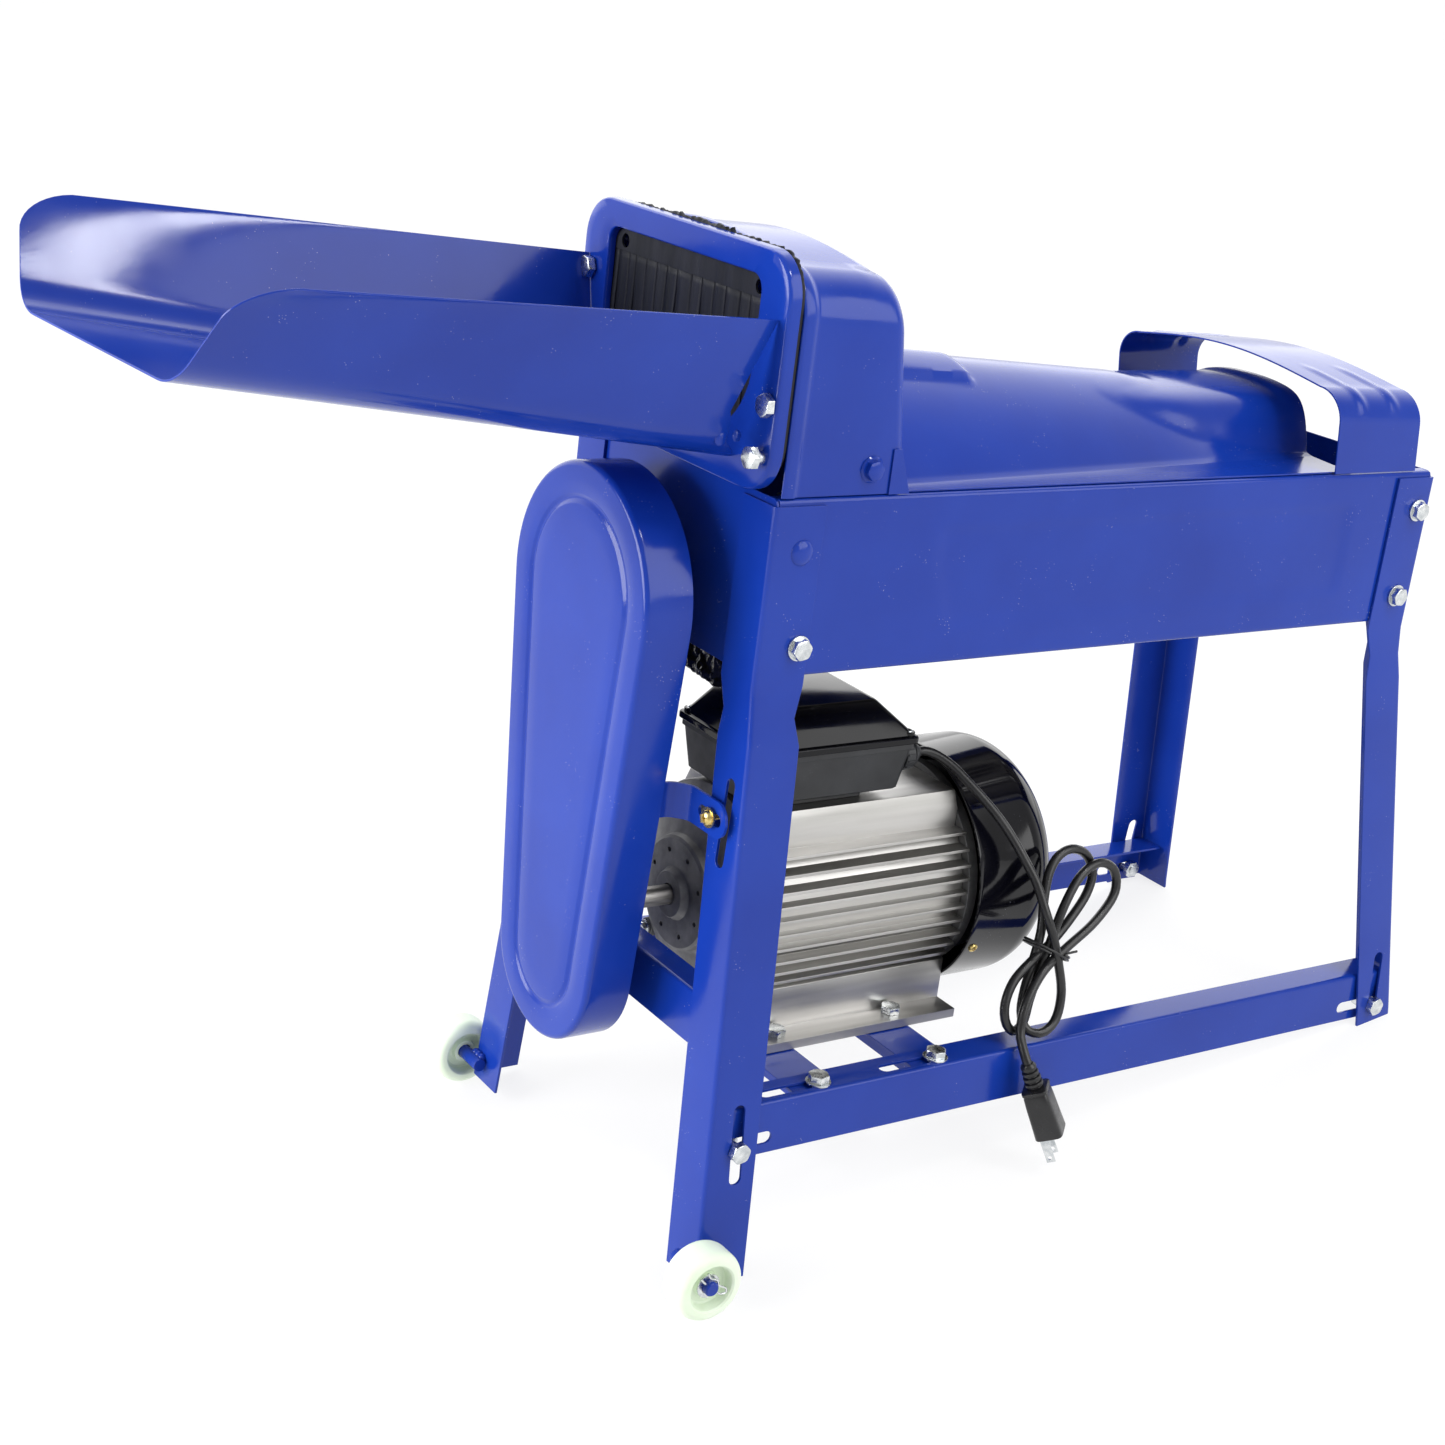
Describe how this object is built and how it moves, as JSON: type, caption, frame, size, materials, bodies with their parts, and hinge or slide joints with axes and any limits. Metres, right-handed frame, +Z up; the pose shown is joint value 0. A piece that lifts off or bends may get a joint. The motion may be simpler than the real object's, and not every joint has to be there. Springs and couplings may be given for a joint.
{
  "type": "electric corn sheller",
  "caption": "Motor-driven corn sheller: tilted sheet-steel threshing box with feed chute and outlet guard on an angle-iron stand with small front wheels.",
  "frame": {"origin": "on the floor, under the middle of the machine's bounding box, the free cord and its plug left out", "axes": "+X towards the cob outlet and the rear legs, +Y towards the left side seen from the feed chute, +Z up"},
  "size_m": [0.9468, 0.3682, 0.6936],
  "materials": {
    "blue_paint": "glossy powder-like enamel",
    "zinc_steel": "bright zinc plate",
    "bare_steel": "rolled steel",
    "cast_iron": "as cast",
    "brushed_aluminium": "extruded, lightly brushed",
    "cast_aluminium": "as cast, dull grey",
    "black_enamel": "high gloss enamel",
    "black_plastic": "satin moulded",
    "gloss_black_plastic": "polished moulded",
    "black_rubber": "matte",
    "mint_nylon": "moulded nylon",
    "copper_winding": "varnished copper",
    "cord_jacket": "semi-matte cord jacket"
  },
  "bodies": {
    "stand": {"side_panel_left": "blue_paint", "side_panel_right": "blue_paint", "end_plate_front": "blue_paint", "end_plate_rear": "blue_paint", "top_cover": "blue_paint", "feed_hood": "blue_paint", "feed_frame": "blue_paint", "feed_chute": "blue_paint", "outlet_hood": "blue_paint", "front_leg_left": "blue_paint", "front_leg_right": "blue_paint", "rear_leg_left": "blue_paint", "rear_leg_right": "blue_paint", "long_rail_left": "blue_paint", "long_rail_right": "blue_paint", "front_cross_rail": "blue_paint", "motor_bar_front": "blue_paint", "motor_bar_rear": "blue_paint", "belt_cover": "blue_paint", "cover_bracket_left": "blue_paint", "cover_bracket_right": "blue_paint", "wheel_axle_left": "blue_paint", "wheel_axle_right": "blue_paint", "rail_bolt_front_left": "zinc_steel", "rail_bolt_front_right": "zinc_steel", "rail_bolt_rear_left": "zinc_steel", "rail_bolt_rear_right": "zinc_steel", "motor_bolt_front_left": "zinc_steel", "motor_bolt_front_right": "zinc_steel", "motor_bolt_rear_left": "zinc_steel", "motor_bolt_rear_right": "zinc_steel", "concave_screen": "bare_steel", "drum_bearing_front": "cast_iron", "drum_bearing_rear": "cast_iron", "motor_housing": "brushed_aluminium", "run_capacitor": "brushed_aluminium", "motor_end_bell": "cast_aluminium", "motor_end_shield": "cast_aluminium", "fan_cowl": "black_enamel", "terminal_box": "black_plastic", "terminal_pedestal": "black_plastic", "cable_gland": "black_plastic", "terminal_lid": "gloss_black_plastic", "hood_seal": "black_rubber", "discharge_apron": "black_rubber", "v_belt": "black_rubber", "motor_stator": "copper_winding", "cord_lead": "cord_jacket", "cord_tail": "cord_jacket", "cord_hank": "cord_jacket", "power_plug": "cord_jacket"},
    "drum": {"threshing_drum": "cast_iron", "drum_pulley": "cast_iron"},
    "motor_shaft": {"motor_rotor": "bare_steel", "motor_pulley": "cast_iron", "cooling_fan": "black_plastic"},
    "left_wheel": {"wheel_left": "mint_nylon"},
    "right_wheel": {"wheel_right": "mint_nylon"},
    "curtain": {"rubber_curtain": "black_rubber"}
  },
  "joints": [
    {"name": "drum_spin", "type": "hinge", "parent": "stand", "child": "drum", "pos_m": [0.17614, 0, 0.40302], "axis": [0.9907, 0, -0.1361], "continuous": true},
    {"name": "motor_spin", "type": "hinge", "parent": "stand", "child": "motor_shaft", "pos_m": [-0.00429, 0, 0.19159], "axis": [0.9907, 0, -0.1361], "continuous": true},
    {"name": "left_wheel_spin", "type": "hinge", "parent": "stand", "child": "left_wheel", "pos_m": [-0.20095, 0.1711, 0.025], "axis": [0, 1, 0], "continuous": true},
    {"name": "right_wheel_spin", "type": "hinge", "parent": "stand", "child": "right_wheel", "pos_m": [-0.20095, -0.1711, 0.025], "axis": [0, 1, 0], "continuous": true},
    {"name": "curtain_swing", "type": "hinge", "parent": "stand", "child": "curtain", "pos_m": [-0.09702, 0, 0.65199], "axis": [0, -1, 0], "range_deg": [0, 45]}
  ],
  "couplings": [
    {"joint": "motor_spin", "follows": "drum_spin", "ratio": 2.26}
  ]
}
